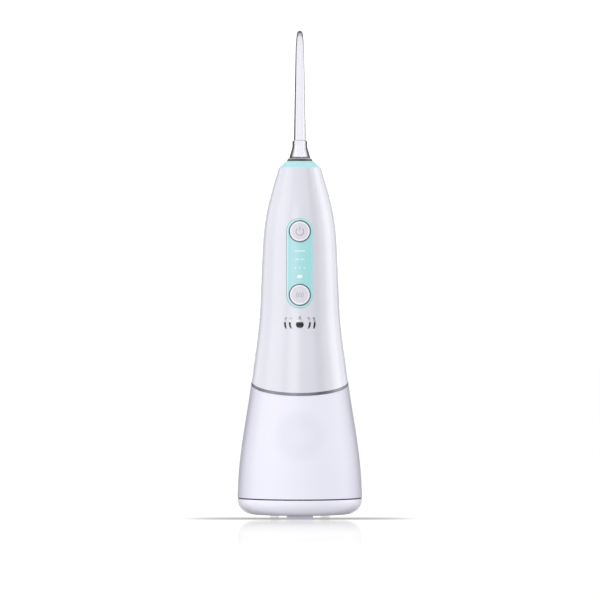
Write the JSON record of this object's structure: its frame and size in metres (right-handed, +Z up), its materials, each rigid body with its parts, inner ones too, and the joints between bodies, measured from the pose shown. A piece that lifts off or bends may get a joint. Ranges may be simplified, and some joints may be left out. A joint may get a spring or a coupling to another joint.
{
  "type": "water flosser",
  "caption": "Cordless handheld water flosser with push buttons, a swivelling jet nozzle, a lift-off water tank and a rear fill door.",
  "frame": {"origin": "floor level under the middle of the base", "axes": "+Z up along the handle to the nozzle, -Y towards the control panel, +X to the right of someone facing the panel"},
  "size_m": [0.0732, 0.066, 0.2866],
  "materials": {
    "housing_plastic": "glossy white",
    "tank_plastic": "frosted translucent",
    "base_plastic": "glossy white",
    "grey_rubber": "matt",
    "foot_rubber": "matt",
    "steel": "bright",
    "silver_trim": "satin chrome",
    "teal_plastic": "glossy",
    "teal_soft": "satin",
    "button_grey": "satin with bright rim",
    "dark_trim": "gloss",
    "white_window": "translucent white",
    "clear_plastic": "clear",
    "inner_plastic": "moulded",
    "dark_plastic": "moulded",
    "white_soft": "silicone",
    "black_seal": "matt",
    "brass": "turned",
    "copper": "wound",
    "magnet": "sintered",
    "board_green": "solder mask",
    "cell_wrap": "shrink wrap",
    "nylon": "moulded",
    "hose_silicone": "translucent silicone"
  },
  "bodies": {
    "tank": {"water_tank": "tank_plastic", "tank_base_cover": "base_plastic", "base_seam_gasket": "grey_rubber", "rubber_feet": "foot_rubber", "base_screws": "steel", "fill_door_pin": "steel"},
    "fill_door": {"fill_door": "base_plastic", "fill_door_gasket": "white_soft"},
    "handle": {"handle_housing": "housing_plastic", "waist_ring": "silver_trim", "bulkhead_cup": "inner_plastic", "neck_o_ring": "black_seal", "bulkhead_seal": "black_seal", "pump_cylinder": "inner_plastic", "pump_head": "inner_plastic", "check_valves": "black_seal", "pump_screws": "steel", "gear_axle": "steel", "gearbox_plate": "dark_plastic", "plate_screws": "steel", "motor_can": "steel", "motor_end_cap": "dark_plastic", "motor_bushings": "brass", "motor_magnets": "magnet", "pump_outlet_hose": "hose_silicone", "suction_tube": "hose_silicone", "suction_filter": "nylon", "nozzle_socket": "inner_plastic", "chassis": "inner_plastic", "battery_cell": "cell_wrap", "battery_tabs": "steel", "control_board": "board_green", "board_components": "dark_plastic", "tact_switches": "dark_plastic", "button_panel": "teal_plastic", "indicator_windows": "white_window", "light_guide": "clear_plastic", "button_bezels": "dark_trim", "emblem": "silver_trim", "collar_ring": "teal_soft", "release_spring": "steel", "usb_receptacle": "steel", "charge_board": "board_green"},
    "power_button": {"power_button": "button_grey"},
    "mode_button": {"mode_button": "button_grey"},
    "release": {"release_button": "teal_soft", "latch_plate": "nylon"},
    "swivel": {"swivel_ring": "dark_trim"},
    "nozzle": {"nozzle_tip": "clear_plastic", "nozzle_o_ring": "black_seal"},
    "charge_flap": {"charge_flap": "white_soft"},
    "rotor": {"motor_rotor": "copper", "motor_pinion": "brass"},
    "crank_gear": {"drive_gear": "nylon", "crank_pin": "steel"},
    "piston": {"piston": "nylon", "piston_seal": "black_seal", "wrist_pin": "steel"},
    "rod": {"connecting_rod": "nylon"}
  },
  "joints": [
    {"name": "tank_release", "type": "slide", "parent": "tank", "child": "handle", "axis": [0, 0, 1], "range_m": [0, 0.075]},
    {"name": "fill_door_hinge", "type": "hinge", "parent": "tank", "child": "fill_door", "pos_m": [0, 0.02993, 0.03388], "axis": [-1, 0, 0], "range_deg": [0, 88]},
    {"name": "power_press", "type": "slide", "parent": "handle", "child": "power_button", "axis": [0, 1, 0], "range_m": [0, 0.0006], "stiffness_N_per_m": 1500},
    {"name": "mode_press", "type": "slide", "parent": "handle", "child": "mode_button", "axis": [0, 1, 0], "range_m": [0, 0.0006], "stiffness_N_per_m": 1500},
    {"name": "nozzle_release_press", "type": "slide", "parent": "handle", "child": "release", "axis": [0, -1, 0], "range_m": [0, 0.0015], "stiffness_N_per_m": 1200, "deforming": ["release_spring"]},
    {"name": "nozzle_swivel", "type": "hinge", "parent": "handle", "child": "swivel", "pos_m": [0, 0, 0.2098], "axis": [0, 0, 1], "continuous": true},
    {"name": "nozzle_pull", "type": "slide", "parent": "swivel", "child": "nozzle", "axis": [0, 0, 1], "range_m": [0, 0.03]},
    {"name": "charge_flap_hinge", "type": "hinge", "parent": "handle", "child": "charge_flap", "pos_m": [0, 0.02275, 0.1013], "axis": [-1, 0, 0], "range_deg": [0, 85]},
    {"name": "motor_spin", "type": "hinge", "parent": "handle", "child": "rotor", "pos_m": [0.001, 0, 0.09], "axis": [0, 0, 1], "continuous": true},
    {"name": "crank_spin", "type": "hinge", "parent": "handle", "child": "crank_gear", "pos_m": [-0.011, 0, 0.083], "axis": [0, 0, 1], "continuous": true},
    {"name": "piston_stroke", "type": "slide", "parent": "handle", "child": "piston", "axis": [-1, 0, 0], "range_m": [0, 0.006]},
    {"name": "rod_swing", "type": "hinge", "parent": "piston", "child": "rod", "pos_m": [0.006, 0, 0.0745], "axis": [0, 0, 1], "range_deg": [-12.4, 12.4]}
  ],
  "couplings": [
    {"joint": "crank_spin", "follows": "motor_spin", "ratio": -0.25}
  ]
}
